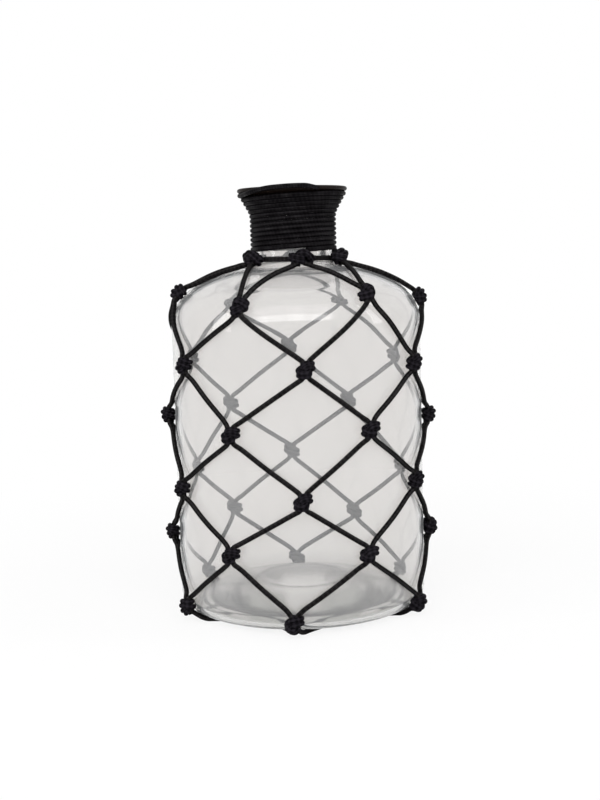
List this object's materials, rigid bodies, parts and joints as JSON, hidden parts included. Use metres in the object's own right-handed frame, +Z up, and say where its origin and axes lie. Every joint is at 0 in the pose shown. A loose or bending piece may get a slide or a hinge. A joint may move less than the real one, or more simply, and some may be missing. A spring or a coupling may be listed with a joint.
{
  "type": "corded glass bottle",
  "caption": "Clear glass bottle with a domed shoulder, flared lip and raised bottom, hung in a net of knotted black cord, its neck wound closely in the same cord.",
  "frame": {"origin": "on the bottle's axis, at the table it stands on", "axes": "+Z up along the bottle's axis to its mouth, -Y towards the camera of the picture, +X to the right in it"},
  "size_m": [0.1628, 0.1629, 0.25],
  "materials": {
    "clear_glass": "clear, smooth blown glass with a faint grey-green tint in the thick bottom",
    "black_cord": "round waxed black cord with a fine braid and a soft sheen",
    "knotted_cord": "the same cord drawn tight in knots, a shade bluer"
  },
  "bodies": {
    "root": {"glass_bottle": "clear_glass", "neck_binding": "black_cord", "neck_ring": "black_cord", "base_ring": "black_cord", "net_cord_1": "black_cord", "net_cord_2": "black_cord", "net_cord_3": "black_cord", "net_cord_4": "black_cord", "net_cord_5": "black_cord", "net_cord_6": "black_cord", "ring_knots": "knotted_cord", "knots_row_1": "knotted_cord", "knots_row_2": "knotted_cord", "knots_row_3": "knotted_cord", "knots_row_4": "knotted_cord", "knots_row_5": "knotted_cord", "heel_knots": "knotted_cord", "base_knots": "knotted_cord"}
  },
  "joints": []
}
